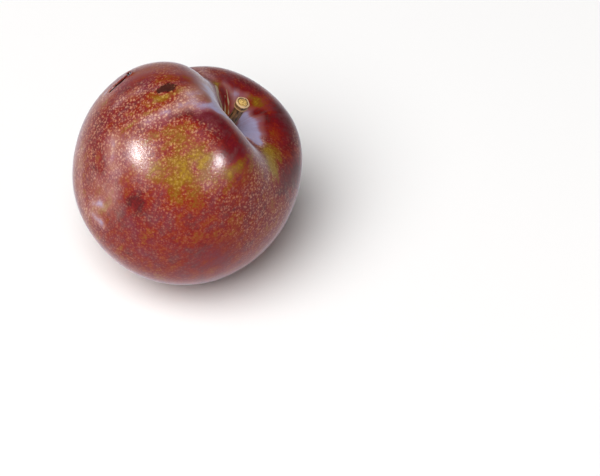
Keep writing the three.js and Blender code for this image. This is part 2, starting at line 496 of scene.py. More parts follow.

# %% [markdown]
# ## Painting by strokes
# A painter would paint the blush, the bloom and the scars onto the skin with a soft brush, in
# Weight Paint mode. This does the same by rule. Each stroke has a strength, a width in mm, and the
# angles of its points. The sum of the strokes is kept on the mesh as an attribute, which the skin's
# material reads. The strokes are soft and simple: noise in the material breaks up their edges.
#
# The first is the blush, which is how much red the skin has made: 0 is the bare yellow ground and 1
# the darkest maroon. It comes from light, so this fruit's is uneven, with an olive field where
# something shaded it. One stroke low on the right is painted shadow, the shade of a neighbouring
# fruit, and not the skin's own colour.

# %% The blush
BLUSH_BASE = 0.66
BLUSH_STROKES = {
    "olive field": (-0.28, 5.6, [(56, 99), (58, 107), (66, 104), (73, 111)]),
    "yellow heart": (-0.20, 1.8, [(75, 112), (69.5, 114.5)]),
    "olive heart": (-0.12, 2.6, [(67, 112), (61, 111)]),
    "olive by the right highlight": (-0.31, 3.2, [(58, 116), (62, 122), (57, 130), (51, 135)]),
    "brown below the field": (-0.24, 3.0, [(78, 102), (84, 106)]),
    "gold above the field": (-0.12, 2.0, [(70, 87), (62.5, 89.5)]),
    "crimson in the field": (0.20, 1.2, [(74, 97), (66, 101)]),
    "crimson spot in the field": (0.16, 1.0, [(66.5, 93)]),
    "brown spot in the field": (0.34, 1.0, [(64.5, 117)]),
    "dark spot above the field": (0.30, 0.6, [(54, 97.5)]),
    "streak under the scab": (-0.56, 0.9, [(58, 69), (53, 71.5)]),
    "wider streak under the scab": (-0.26, 1.3, [(62.5, 69.5), (56, 70), (46, 70.5)]),
    "orange round the scab": (-0.12, 1.8, [(56.5, 61.5), (50.5, 58), (45.5, 67)]),
    "tan dash": (-0.45, 0.6, [(74.5, 74), (69.5, 74.5)]),
    "second tan dash": (-0.40, 0.55, [(67.5, 73.5), (63.5, 75)]),
    "third tan dash": (-0.38, 0.5, [(75, 68), (72, 69.5)]),
    "fourth tan dash": (-0.38, 0.5, [(77.5, 74.5), (74.5, 75)]),
    "dark band under the bloom": (0.30, 1.8, [(54.5, 85.5), (48.5, 88), (43.5, 96.5)]),
    "darkest of the band": (0.10, 1.2, [(47, 98), (42.5, 96.5)]),
    "dark red under the dashes": (0.14, 1.6, [(67.5, 83), (62, 85)]),
    "dark left shoulder": (0.06, 2.4, [(80, 56.5), (72.5, 56.5), (63.5, 58)]),
    "dark left edge": (0.12, 2.0, [(89, 58), (96, 62), (102, 67), (106, 73)]),
    "dark on the left flank": (0.16, 1.6, [(97, 76), (103, 79)]),
    "gold low on the left": (-0.40, 1.0, [(105.5, 92.5), (113, 94.5), (125, 91)]),
    "olive low on the left edge": (-0.16, 2.5, [(126.5, 75), (140.5, 93)]),
    "dark spot, low": (0.55, 2.0, [(98, 106)]),
    "brown, low": (0.16, 3.5, [(86.5, 107), (111.5, 105)]),
    "maroon by the crest": (0.28, 3.8, [(43, 112.5), (44, 126)]),
    "maroon at the band's end": (0.18, 2.0, [(36.5, 94.5), (38.5, 107.5)]),
    "brown by the seam": (-0.08, 3.0, [(41, 138), (40, 146), (46, 150)]),
    "olive streak by the seam": (-0.34, 1.3, [(54.5, 132), (48, 134.5)]),
    "orange beyond the seam": (-0.18, 2.5, [(23.5, -124), (28.5, -148)]),
    "gold beyond the seam": (-0.80, 2.7, [(30, -163), (35, -174), (40, -177)]),
    "gold dashes beyond the seam": (-0.35, 0.7, [(36, -157.5), (39, -161.5)]),
    "brown dots beyond the seam": (-0.25, 1.3, [(38, -143)]),
    "dark right lobe": (0.28, 4.5, [(28.5, -104), (33, -127.5)]),
    # painted shadow: the darkest blush low on the right, the shade that a neighbouring fruit casts
    "painted shadow, low on the right": (0.34, 5.0, [(46.5, -164.5), (46.5, -143.5)]),
    "dark far shoulder": (0.30, 2.4, [(31, -47.5), (29, -60.5)]),
    "dark right shoulder": (0.20, 2.4, [(27, -81.5), (29.5, -96.5)]),
    "orange spot by the hollow": (-0.28, 1.3, [(22.5, -59.5)]),
    "gold spot by the hollow": (-0.28, 1.6, [(21, -72.5)]),
    "orange beside the gold": (-0.30, 2.4, [(26, -74.5), (22, -87)]),
    "dark red under the gold": (0.24, 1.5, [(16.5, -87), (18, -100)]),
    "green spot in the cleft": (-0.66, 1.4, [(29.5, -8.5)]),
    "red between the cracks": (0.20, 1.2, [(23, -12), (15, -6)]),
    "second red between the cracks": (0.22, 1.1, [(21.5, -26), (14, -31.5)]),
    "olive at the stalk's foot": (-0.35, 2.0, [(11.5, -20.5)]),
    "gold toward the blossom end": (-0.16, 5.0, [(130, 10), (150, -60)]),
    "streak down the back": (-0.18, 1.6, [(60, -172), (105, -168)]),
    "gold on the back": (-0.22, 4.0, [(80, -150), (100, -125)]),
    "streak on the far lobe": (-0.20, 1.4, [(50, -52), (95, -60)]),
    "dark on the far lobe": (0.16, 6.0, [(75, -80), (95, -30)]),
    "dark by the lower seam": (0.12, 5.0, [(95, -8), (120, 15)]),
}

# %% [markdown]
# Bloom is the pale wax that the skin makes. It lies thick in the hollow, along the crest beside it
# and in creases, and thin where fingers and leaves have been. A stroke with a negative strength is
# mostly a place that was rubbed clean, but the one low on the right takes the bloom away inside the
# painted shadow there. Some strokes hold painted light, laid on as pale bloom: a painted halo round
# each highlight, and wax along the outline at the left and the top and on the crest's thin edge,
# which is partly real wax and partly a painted reflection, a pale rim and a pale line.

# %% The bloom
BLOOM_BASE = 0.02
BLOOM_STROKES = {
    "band over the left lobe": (0.56, 1.8, [(67, 79), (58, 81), (49, 83), (41, 86), (36, 89)]),
    "band toward the crest": (0.18, 1.3, [(45, 87), (40.5, 89.5), (36, 93)]),
    "rubbed clean below the band": (-0.22, 1.6, [(54.5, 89), (48, 91.5), (43, 97)]),
    "bright in the band": (0.22, 0.8, [(59, 79), (56.5, 82)]),
    "brightest in the band": (0.26, 0.7, [(50, 81.5), (47, 84.5)]),
    "mauve above the band": (0.72, 2.4, [(42, 76.5), (34, 70), (31, 58)]),
    "crest": (1.15, 1.6, [(26, 50), (27, 67), (30, 83), (32, 93)]),
    "inner side of the crest": (0.70, 1.2, [(22, 38), (23, 55)]),
    "lower crest": (0.95, 1.3, [(33, 92), (32, 101), (31, 107)]),
    "where the band meets the crest": (0.16, 1.5, [(34, 90), (38, 88.5)]),
    # partly wax, partly painted reflection: a thin pale line along the crest's edge
    "wax and painted reflected line on the crest's edge": (0.50, 0.40, [(30, 111), (31, 128.5), (29, 151)]),
    "far wall of the hollow":
        (1.05, 2.1, [(12.5, -80), (13, -100), (14.5, -122), (17, -138), (20, -152), (23, -162)]),
    "bottom of the far wall": (0.25, 1.5, [(16, -140), (21, -158)]),
    "floor of the hollow": (0.75, 1.8, [(9, -100), (11, -128), (14, -148)]),
    "above the stalk": (0.46, 1.4, [(27.5, -19.5), (23.5, -26.5), (22, -49)]),
    "beside the stalk": (0.50, 1.4, [(20, -31.5), (16, -37.5)]),
    "upper cleft": (0.60, 1.4, [(46, -13.5), (39.5, -12), (35, -10)]),
    "beside the green spot": (0.30, 0.6, [(29, 4)]),
    "veil on the top": (0.30, 2.8, [(62.5, 42.5), (52.5, 42.5), (38.5, 50.5)]),
    # partly wax, partly painted reflection: a pale rim along the top outline
    "wax and painted reflected rim behind the top": (0.62, 1.8, [(72, 26), (60, 30), (50, 31), (41, 34)]),
    "veil on the left shoulder": (0.30, 2.4, [(83, 46.5), (72.5, 43)]),
    # partly wax, partly painted reflection: a pale rim along the left outline
    "wax and painted reflected rim behind the left shoulder": (0.46, 2.2, [(82, 40), (90, 42.5), (104, 45), (118, 48)]),
    "dry flap by the slit": (0.60, 0.9, [(83, 38), (76, 36), (71, 33)]),
    "mauve on the left shoulder": (0.40, 1.6, [(76.5, 56), (64.5, 58)]),
    "veil on the left flank": (0.30, 2.6, [(88.5, 75), (99.5, 87.5), (105, 93)]),
    "rubbed clean on the left": (-0.22, 2.4, [(90, 58), (98, 63), (104, 72)]),
    # painted highlight: a pale halo round the left highlight
    "painted halo round the highlight": (0.20, 4.5, [(84, 80), (84, 96)]),
    # painted highlight: a pale halo round the second highlight
    "painted halo round the second highlight": (0.14, 2.2, [(64, 118), (66, 124)]),
    # painted highlight: more of the pale halo beside the left highlight
    "painted halo beside the highlight": (0.26, 2.0, [(86, 74), (92, 81), (94, 88)]),
    "veil low on the left": (0.30, 4.5, [(111.5, 82.5), (112.5, 96.5)]),
    "wax low on the left": (0.75, 1.8, [(124.5, 84), (120, 89.5)]),
    "wax lower on the left": (0.70, 1.7, [(131.5, 87.5), (129, 96)]),
    # partly wax, partly painted reflection: a pale rim low on the left outline
    "wax and painted reflected rim on the left edge": (0.40, 2.4, [(110.5, 54.5), (124, 63.5), (135.5, 79.5)]),
    "rubbed off under the gold": (-0.60, 1.1, [(16.5, -87)]),
    "rubbed clean beyond the hollow": (-0.55, 1.3, [(22.5, -104), (24, -124), (26, -143)]),
    "rubbed clean on the dark spot": (-0.40, 2.2, [(97.5, 106)]),
    "rubbed clean on the gold": (-0.35, 2.4, [(30, -163), (35, -174), (40, -177)]),
    # painted shadow: no bloom low on the right, so that the painted shade stays dark
    "no bloom in the painted shadow, low on the right": (-0.35, 4.5, [(46.5, -164.5), (46.5, -143.5)]),
    "veil over the hollow": (0.06, 2.5, [(34, -25), (31.5, -39.5)]),
    "rubbed clean above the hollow": (-0.30, 1.6, [(31, -31), (28, -44)]),
    "wax down the back": (0.35, 3.0, [(70, -110), (110, -100)]),
    "wax by the seam": (0.40, 2.2, [(60, -12), (95, -8)]),
    "wax low on the far lobe": (0.30, 5.0, [(110, -40), (135, -80)]),
    "wax round the blossom end": (0.35, 3.0, [(168, 0), (172, 180)]),
}

# %% [markdown]
# Pores cover nearly the whole skin, so they start from a high base, and strokes thin them out. Low
# on the right they are taken out so that the painted shadow there stays dark. The scars start from
# nothing. Russet is the corky cracking that runs out of the hollow from the foot of the stalk.

# %% The pores, the scars and the russet
PORE_BASE = 0.95
PORE_STROKES = {
    "few on the top": (-0.55, 5.0, [(62.5, 39.5), (38.5, 54.5)]),
    "few on the crest": (-0.78, 3.6, [(37, 60), (34, 72), (31.5, 98), (35.5, 123)]),
    "few in the dark band": (-0.45, 1.8, [(54, 86), (48, 88.5), (43, 97)]),
    "fewer on the left shoulder": (-0.55, 3.4, [(82, 49), (74, 49), (62, 47)]),
    "few by the crest": (-0.62, 4.2, [(38, 97), (40, 110), (43, 124), (43, 138)]),
    "few between the highlight and the seam": (-0.55, 3.2, [(50, 121), (47, 133), (56, 141)]),
    "none on the dark spot": (-0.70, 1.7, [(97.5, 106)]),
    "few on the far lobe": (-0.75, 7.0, [(32, -23.5), (27, -58), (27.5, -86)]),
    "few on the right lobe": (-0.70, 6.0, [(26.5, -114.5), (32, -137)]),
    # painted shadow: no pores low on the right, so that the painted shade stays dark
    "no pores in the painted shadow, low on the right": (-0.70, 4.5, [(46.5, -164.5), (46.5, -143.5)]),
    "fewer below": (-0.70, 20.0, [(112, 108), (115, 150), (110, -170), (95, -140)]),
    "fewer toward the lower seam": (-0.40, 9.0, [(78, 138), (92, 160)]),
    "none in the hollow": (-0.95, 5.0, [(18, -18.5), (14, -114)]),
}
SCAB_STROKES = {"middle": (0.85, 1.6, SCAB[1:]), "tail": (0.8, 0.9, SCAB)}
SLIT_STROKES = {"slit": (1.0, 0.62, SLIT)}
RUSSET_STROKES = {
    "wide crack down the cleft": (1.2, 0.9, [(27, -4), (22, 8), (19, 13), (15, 10), (8, 5)]),
    "middle crack": (1.0, 0.4, [(21, -14), (17, -12), (10, -8)]),
    "thin crack": (1.1, 0.45, [(24, -20), (18, -19), (12, -26)]),
    "round the stalk's foot": (0.7, 2.4, [(0, 0)]),
    "scar of the blossom": (0.9, 0.8, [(180, 0)]),
}

# %% [markdown]
# Each stroke is a bell across its width. A slow noise pushes the strokes about a little, so that
# they don't look ruled. The scab and the slit stay where they are, because their colour has to lie
# on their relief.

# %% Paint the strokes onto the mesh
WANDERS = [(7.0, 0.7), (2.4, 0.5)]  # mm between turns, mm to the side
noise.seed_set(1)  # without a seed, the noise starts from the clock and differs at each run


def wandering(directions):
    """The directions, pushed about a little, so that a stroke drawn with them has a live edge."""
    pushed = np.array(directions)
    for size, push in WANDERS:
        turns = [noise.noise_vector(Vector(d) * SKIN_RADIUS / size) for d in directions]
        pushed += np.array(turns) * push / SKIN_RADIUS
    return pushed


def paint(mesh, places, name, strokes, base=0.0):
    """Keeps the sum of the strokes on the mesh, as an attribute of this name."""
    total = np.full(len(mesh.vertices), base)
    for strength, width, points in strokes.values():
        total += strength * bell(distance_to(places, points), 0, width)
    mesh.attributes.new(name, "FLOAT", "POINT").data.foreach_set("value", np.clip(total, 0, 1))
    print(f"{name}: {total.min():.2f} to {total.max():.2f}, from {len(strokes)} strokes")


steady = directions_of(body.data)
live = wandering(steady)
paint(body.data, live, "blush", BLUSH_STROKES, BLUSH_BASE)
paint(body.data, live, "bloom", BLOOM_STROKES, BLOOM_BASE)
paint(body.data, live, "pores", PORE_STROKES, PORE_BASE)
paint(body.data, live, "russet", RUSSET_STROKES)
paint(body.data, steady, "scab", SCAB_STROKES)
paint(body.data, steady, "slit", SLIT_STROKES)

# %% [markdown]
# ## Lay the fruit down
# The whole mesh turns into its lie at once. A soft, heavy fruit flattens where it rests, so what
# would be below the ground is pressed up to it.

# %% Lay it down and press the flat spot
body.data.transform(LYING)
pressed = [v for v in body.data.vertices if v.co.z < 0]
for vertex in pressed:
    vertex.co.z = 0
body.data.update()
print("the flat spot has", len(pressed), "points")

# %% [markdown]
# ## The stalk: a path, a profile and swollen ends
# A stalk is a thin rod that follows a gentle bend. Sweeping a circle along an arc is the quickest
# way to it, and the sweep's scale along the path gives the swollen foot, the swollen tip, and the
# pale ring just under the tip, where the stalk broke from the twig. Sizes are in millimetres and
# angles in radians. The swelling, the ring's place and its width are shares of the length.

# %% The stalk's sizes
STALK_SIZES = {
    "length": 13.3, "start": math.radians(12), "bend": math.radians(18),
    "shaft": 1.3, "foot": 0.4, "tip": 0.5, "swelling": 0.14,
    "ring": 0.26, "ring place": 0.885, "ring width": 0.02,
    "ridges": 5.0, "ridge height": 0.05, "roughness": 0.16,
}
STALK_ROWS = 110
STALK_SIDES = 56

stalk_tree, known = new_tree("Stalk", STALK_SIZES)
work_out(stalk_tree, known, [
    ("arc radius", "DIVIDE", "length", "bend"),
    ("arc radius", "MULTIPLY", "arc radius", MM),
    ("arc start", "SUBTRACT", math.pi, "start"),
    ("arc sweep", "MULTIPLY", "bend", -1.0),
    ("side", "COSINE", "start"),
    ("side", "MULTIPLY", "side", "arc radius"),
    ("drop", "SINE", "start"),
    ("drop", "MULTIPLY", "drop", "arc radius"),
    ("drop", "MULTIPLY", "drop", -1.0),
])
arc = add(stalk_tree, "GeometryNodeCurveArc",
          {"Resolution": STALK_ROWS, "Radius": known["arc radius"],
           "Start Angle": known["arc start"], "Sweep Angle": known["arc sweep"]}, mode="RADIUS")
place = add(stalk_tree, "ShaderNodeCombineXYZ", {"X": known["side"], "Z": known["drop"]})
path = add(stalk_tree, "GeometryNodeTransform",
           {"Geometry": arc, "Translation": place, "Rotation": (math.pi / 2, 0.0, 0.0)})

# %% [markdown]
# The profile is a circle of radius 1, so the sweep's scale is the stalk's own radius at each place.
# The circle remembers how far round each of its points is, which the bark's ridges need later.

# %% The sweep
known["along"] = add(stalk_tree, "GeometryNodeSplineParameter").outputs["Factor"]
work_out(stalk_tree, known, [
    ("foot hump", "HUMP", "along", 0.0, "swelling"),
    ("tip hump", "HUMP", "along", 1.0, "swelling"),
    ("ring hump", "HUMP", "along", "ring place", "ring width"),
    ("thick", "MULTIPLY_ADD", "foot hump", "foot", "shaft"),
    ("thick", "MULTIPLY_ADD", "tip hump", "tip", "thick"),
    ("thick", "MULTIPLY_ADD", "ring hump", "ring", "thick"),
    ("thick", "MULTIPLY", "thick", MM),
])
circle = add(stalk_tree, "GeometryNodeCurvePrimitiveCircle",
             {"Resolution": STALK_SIDES, "Radius": 1.0}, mode="RADIUS")
turned = add(stalk_tree, "GeometryNodeSplineParameter")
circle = add(stalk_tree, "GeometryNodeStoreNamedAttribute",
             {"Geometry": circle, "Name": "turn", "Value": turned.outputs["Factor"]},
             data_type="FLOAT", domain="POINT")
rod = add(stalk_tree, "GeometryNodeCurveToMesh",
          {"Curve": path, "Profile Curve": circle, "Scale": known["thick"], "Fill Caps": True})

# %% [markdown]
# ## The broken end
# The tip is not a flat cut. It has a raised rim of bark, and inside it a sunken ring round a low
# dome of pith. The cap face is extruded once for each ring, each time shrunk and moved along the
# stalk.

# %% Shape the tip
END_RINGS = [  # how much each ring shrinks, and its rise in mm
    (0.92, 0.18), (0.90, 0.06), (0.91, -0.28), (0.86, 0.06), (0.72, 0.12), (0.50, 0.04),
]
CAP_SIDES = 4.5  # a wall's face has 4 sides, and a cap has more
TIP_ABOVE = 5 * MM  # the foot's cap is below this
TIP_HEADING = STALK_SIZES["start"] + STALK_SIZES["bend"]
TIP_DIRECTION = Vector((math.sin(TIP_HEADING), 0.0, math.cos(TIP_HEADING)))

sides = add(stalk_tree, "GeometryNodeInputMeshFaceNeighbors")
where = add(stalk_tree, "GeometryNodeInputPosition")
parts = add(stalk_tree, "ShaderNodeSeparateXYZ", {"Vector": where})
known.update(sides=sides.outputs["Vertex Count"], height=parts.outputs["Z"])
work_out(stalk_tree, known, [
    ("is cap", "GREATER_THAN", "sides", CAP_SIDES),
    ("is high", "GREATER_THAN", "height", TIP_ABOVE),
    ("chosen", "MULTIPLY", "is cap", "is high"),
])
end, chosen = rod, known["chosen"]
for shrink, rise in END_RINGS:
    raised = add(stalk_tree, "GeometryNodeExtrudeMesh",
                 {"Mesh": end, "Selection": chosen, "Offset": TIP_DIRECTION,
                  "Offset Scale": rise * MM, "Individual": False}, mode="FACES")
    chosen = raised.outputs["Top"]
    end = add(stalk_tree, "GeometryNodeScaleElements",
              {"Geometry": raised.outputs["Mesh"], "Selection": chosen, "Scale": shrink},
              domain="FACE")

# %% [markdown]
# ## Bark
# Dry bark has shallow ridges that run the stalk's length, and a finer roughness drawn out the same
# way. Both move the points along their normals. The noise is squeezed along the stalk, so that its
# grains come out long.

# %% Roughen the bark
GRAINS_PER_MM = (1.6, 1.6, 0.42)  # across the stalk twice, and along it
turn = add(stalk_tree, "GeometryNodeInputNamedAttribute", {"Name": "turn"}, data_type="FLOAT")
where = add(stalk_tree, "GeometryNodeInputPosition")
grain = add(stalk_tree, "ShaderNodeVectorMath", {0: where, 1: GRAINS_PER_MM}, operation="MULTIPLY")
fibres = add(stalk_tree, "ShaderNodeTexNoise", {"Vector": grain, "Scale": 1 / MM, "Detail": 3.0})
known.update(turn=turn.outputs["Attribute"], fibres=fibres.outputs["Fac"])
work_out(stalk_tree, known, [
    ("ridge", "MULTIPLY", "turn", 2 * math.pi),
    ("ridge", "MULTIPLY", "ridge", "ridges"),
    ("ridge", "COSINE", "ridge"),
    ("ridge", "MULTIPLY", "ridge", "ridge height"),
    ("grain", "SUBTRACT", "fibres", 0.5),
    ("out", "MULTIPLY_ADD", "grain", "roughness", "ridge"),
    ("out", "MULTIPLY", "out", MM),
])
normal = add(stalk_tree, "GeometryNodeInputNormal")
offset = add(stalk_tree, "ShaderNodeVectorMath",
             {0: normal.outputs["Normal"], "Scale": known["out"]}, operation="SCALE")
rough = add(stalk_tree, "GeometryNodeSetPosition", {"Geometry": end, "Offset": offset})
end_tree(stalk_tree, rough, bark_material)
print("the stalk's tree has", len(stalk_tree.nodes), "nodes")
stalk = grow("stalk_bark", stalk_tree, STALK_SIZES)

# %% [markdown]
# ## Stand the stalk in the hollow
# The solid model says where the stalk stands: its foot is 2 mm below the floor of the hollow, and
# it bends towards the left lobe. The same turn and place are built into the mesh here.

# %% Place the stalk
HOLLOW_FLOOR = 16.37  # mm from the body's middle, along the stalk axis
SOCKET_DEPTH = 2.0
STALK_TOWARD = math.radians(90)
STANDING = (
    LYING
    @ Matrix.Translation((0, 0, (HOLLOW_FLOOR - SOCKET_DEPTH) * MM))
    @ Matrix.Rotation(STALK_TOWARD, 4, "Z")
)
stalk.data.transform(STANDING)
low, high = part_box("stalk")
ends = np.array([v.co for v in stalk.data.vertices])
print("solid stalk:", [round(1000 * c, 1) for c in (*low, *high)])
print("this stalk: ", [round(1000 * c, 1) for c in (*ends.min(0), *ends.max(0))])

# %% [markdown]
# ## The skin, layer by layer
# A plum's skin is a yellow-green ground under a thin red layer, the blush. Where the blush is thin
# the skin is gold or orange, and where it is thick it is dark maroon. Over it lie pale pores, and
# over those the bloom. The material is built in that order, each layer mixed over the last, as a
# glaze over paint. It reads Object coordinates in millimetres, so each pattern's scale is one
# over its real size.
#
# The layers are steps too, and the same helper adds them. What the steps may name is kept in a
# dictionary, as for the shape. It starts with the colours and with what was painted on the mesh.

# %% Colours, painted layers and coordinates
SKIN_COLOURS = {
    "crimson": "#6c0f22", "gold dot": "#c09a50", "pink dot": "#d69a76", "dot in the bloom": "#dab49c",
    # the slit's near-black colour is dry flesh and also painted shade inside its groove
    "cork": "#b09a78", "dark scab": "#1f0a07", "brown scab": "#4c2318", "dry flesh and painted shade": "#2a0c08",
    "rosy bloom": "#b88c80", "mauve bloom": "#a46c76", "thick bloom": "#aca4c4",
}
layers = {name: linear(colour) for name, colour in SKIN_COLOURS.items()}
for name in ("blush", "bloom", "pores", "russet", "scab", "slit"):
    layers[name] = add(skin, "ShaderNodeAttribute", attribute_name=name).outputs["Fac"]

coordinates = add(skin, "ShaderNodeTexCoord")
skin_mm = add(skin, "ShaderNodeVectorMath",
              {0: coordinates.outputs["Object"], "Scale": 1 / MM}, operation="SCALE")
in_fruit = add(skin, "ShaderNodeMapping",
               {"Vector": coordinates.outputs["Object"], "Location": MIDDLE * MM,
                "Rotation": LYING.to_euler("XYZ")}, vector_type="TEXTURE")

# %% [markdown]
# Nothing on a fruit has a clean edge, so every painted value is spoiled with noise. Three noises do
# it, from clouds a little under a centimetre wide down to a fine grain.

# %% Clouds of noise
SKIN_NOISES = {  # mm across, detail, roughness, distortion
    "clouds": (8.0, 4.0, 0.60, 0.4),
    "mottle": (3.4, 3.0, 0.65, 0.0),
    "fine": (0.6, 2.0, 0.60, 0.0),
}
for name, (across, detail, roughness, distortion) in SKIN_NOISES.items():
    layers[name] = add(skin, "ShaderNodeTexNoise",
                       {"Vector": skin_mm, "Scale": 1 / across, "Detail": detail,
                        "Roughness": roughness, "Distortion": distortion})


def spoiling(value, amounts):
    """The steps that add noises to a value. A noise runs from 0 to 1, so half its amount comes off."""
    steps = [(value, "MULTIPLY_ADD", grain, amount, value) for grain, amount in amounts.items()]
    return [*steps, (value, "SUBTRACT", value, sum(amounts.values()) / 2)]


# %% [markdown]
# Colour also runs in streaks, from the stalk to the blossom end, because the skin grew that way.
# For streaks the noise is read on a grid of its own: round the fruit at full size, and along it
# squeezed to a fifth, so that each grain comes out five times as long as it is wide.

# %% Streaks from the stalk down
STREAK_WIDTH = 2.1  # mm
STREAK_SQUEEZE = 0.2
parts = add(skin, "ShaderNodeSeparateXYZ", {"Vector": in_fruit})
flat = add(skin, "ShaderNodeCombineXYZ", {"X": parts.outputs["X"], "Y": parts.outputs["Y"]})
circling = add(skin, "ShaderNodeVectorMath", {0: flat}, operation="NORMALIZE")
layers["from axis"] = add(skin, "ShaderNodeVectorMath", {0: flat}, operation="LENGTH").outputs["Value"]
layers["height"] = parts.outputs["Z"]
work_out(skin, layers, [
    ("down", "ARCTAN2", "from axis", "height"),
    ("down", "MULTIPLY", "down", STREAK_SQUEEZE),
])
down = add(skin, "ShaderNodeCombineXYZ", {"Z": layers["down"]})
grid = add(skin, "ShaderNodeVectorMath", {0: circling, 1: down}, operation="ADD")
layers["streaks"] = add(skin, "ShaderNodeTexNoise",
                        {"Vector": grid, "Scale": SKIN_RADIUS / STREAK_WIDTH,
                         "Detail": 4.0, "Roughness": 0.6})

# %% [markdown]
# The spoiled blush picks its colour from a ramp, from bare gold to deep maroon. In clouds of their
# own, the red parts turn from a warm red to a cool crimson.

# %% The blush over the yellow ground
BLUSH_COLOURS = [
    (0.00, "#94701a"), (0.16, "#805412"), (0.34, "#7e4410"), (0.50, "#842c10"),
    (0.66, "#7a1613"), (0.84, "#660f10"), (1.00, "#500a0c"),
]
BLUSH_NOISES = {"clouds": 0.75, "streaks": 0.70, "mottle": 1.00, "fine": 0.65}
CRIMSON_CLOUDS = (0.46, 0.64, 0.55)  # where the noise starts it, where it is full, its strength
CRIMSON_BLUSH = (0.40, 0.70)  # and the blush it needs

work_out(skin, layers, spoiling("blush", BLUSH_NOISES))
layers["ramp"] = add(skin, "ShaderNodeValToRGB", {"Fac": layers["blush"]})
stops = layers["ramp"].color_ramp.elements
for place, _ in BLUSH_COLOURS[1:-1]:
    stops.new(place)
for stop, (_, colour) in zip(stops, BLUSH_COLOURS):
    stop.color = linear(colour)
other = add(skin, "ShaderNodeSeparateColor", {"Color": layers["clouds"].outputs["Color"]})
layers["other clouds"] = other.outputs["Green"]
work_out(skin, layers, [
    ("crimson here", "MASK", "other clouds", *CRIMSON_CLOUDS),
    ("red enough", "MASK", "blush", *CRIMSON_BLUSH),
    ("crimson here", "MULTIPLY", "crimson here", "red enough"),
    ("ground", "OVER", "crimson here", "ramp", "crimson"),
])
print("the ramp has", len(stops), "colours")

# %% [markdown]
# ## Lenticels
# The pale dots are lenticels, pores that the skin breathes through. They are about half a
# millimetre across and a little under a millimetre apart, with smaller ones between. A Voronoi
# texture gives the distance to the nearest of many scattered points, and a dot is where that
# distance is small. Because the points fill space and the skin cuts through it, the dots come out
# in all sizes, as they do on a plum. The mottle crowds them in some places and thins them in others.

# %% Scatter the lenticels
DOT_LAYERS = {  # mm between points, mm dot radius, strength
    "large dots": (0.92, 0.50, 0.95),
    "small dots": (0.56, 0.32, 0.80),
}
DOT_BEND = 0.8  # mm, how far the dots are pushed out of round
DOT_CHANCE = (0.0, 0.6)  # of each dot's random number, from none of it to all
DOT_CROWDS = (0.20, 0.50)  # of the mottle
PINK_DOTS = (0.35, 0.70)  # of the blush, from gold dots to pink

bent = add(skin, "ShaderNodeVectorMath",
           {0: layers["fine"].outputs["Color"], 1: (0.5, 0.5, 0.5)}, operation="SUBTRACT")
bent = add(skin, "ShaderNodeVectorMath", {0: bent, "Scale": DOT_BEND}, operation="SCALE")
bent = add(skin, "ShaderNodeVectorMath", {0: skin_mm, 1: bent}, operation="ADD")
for name, (spacing, radius, strength) in DOT_LAYERS.items():
    points = add(skin, "ShaderNodeTexVoronoi", {"Vector": bent, "Scale": 1 / spacing})
    chance = add(skin, "ShaderNodeSeparateColor", {"Color": points.outputs["Color"]})
    layers.update({"distance": points.outputs["Distance"], "chance": chance.outputs["Red"]})
    work_out(skin, layers, [
        (name, "MASK", "distance", radius / spacing, 0.0, strength),
        ("chance", "MASK", "chance", *DOT_CHANCE),
        (name, "MULTIPLY", name, "chance"),
    ])
work_out(skin, layers, [
    ("dots", "MAXIMUM", "large dots", "small dots"),
    ("crowd", "MASK", "mottle", *DOT_CROWDS),
    ("crowd", "MULTIPLY", "crowd", "pores"),
    ("dots", "MULTIPLY", "dots", "crowd"),
    ("pinkness", "MASK", "blush", *PINK_DOTS),
    ("dot colour", "OVER", "pinkness", "gold dot", "pink dot"),
    ("dotted", "OVER", "dots", "ground", "dot colour"),
])
print("with the lenticels, the skin has", len(skin.nodes), "nodes")

# %% [markdown]
# ## Russet, scab and slit
# Corky tissue is dry and brown. The russet runs out of the hollow in fine cracks, so it is drawn
# with the streaks. The scab is nearly black. The slit shows dry flesh at its bottom, and its
# near-black colour is also painted shade inside the groove, under its lifted lip.

# %% The corky layers
RUSSET_EDGE = (0.40, 0.75, 0.85)
SCAB_EDGE = (0.30, 0.72, 0.94)
SLIT_EDGE = (0.30, 0.65)

work_out(skin, layers, [
    *spoiling("russet", {"streaks": 0.8}),
    ("russet", "MASK", "russet", *RUSSET_EDGE),
    ("russeted", "OVER", "russet", "dotted", "cork"),
    *spoiling("scab", {"mottle": 1.0, "fine": 1.3}),
    ("scab", "MASK", "scab", *SCAB_EDGE),
    ("scab colour", "OVER", "mottle", "dark scab", "brown scab"),
    ("scabbed", "OVER", "scab", "russeted", "scab colour"),
    ("slit", "MASK", "slit", *SLIT_EDGE),
    # the slit's colour: dry flesh, and painted shade inside the groove
    ("cut", "OVER", "slit", "scabbed", "dry flesh and painted shade"),
])
print("with the scars, the skin has", len(skin.nodes), "nodes")

# %% [markdown]
# ## The bloom
# Bloom is a powder of wax, pale because it scatters light. Where it is thin the red shows through
# and makes it rosy or mauve, and only where it is thick is it lilac-white. It is patchy: it stays
# in the hollow and along the creases and is rubbed thin on the rest, and there is none on the scab
# and in the slit. The lenticels' corky tops show through a thin bloom as paler dots. This layer also
# carries painted light: a painted halo round each highlight, and a pale rim along the outline at the
# left and the top and a pale line on the crest's edge, which are partly real wax and partly painted
# reflection.

# %% Lay the bloom over
BLOOM_NOISES = {"clouds": 0.60, "streaks": 0.40, "mottle": 0.35, "fine": 0.15}
BLOOM_COVER = 0.9  # how much of the skin the thickest bloom hides
BLOOM_ON_RUSSET = 0.6  # how much less of it lies on russet
MAUVE_CLOUDS = (0.40, 0.65)  # of the clouds, from rosy bloom to mauve
THICK_BLOOM = (0.44, 0.96)  # of the bloom, from thin to thick
DOTS_THROUGH_BLOOM = (0.05, 0.45, 0.80)

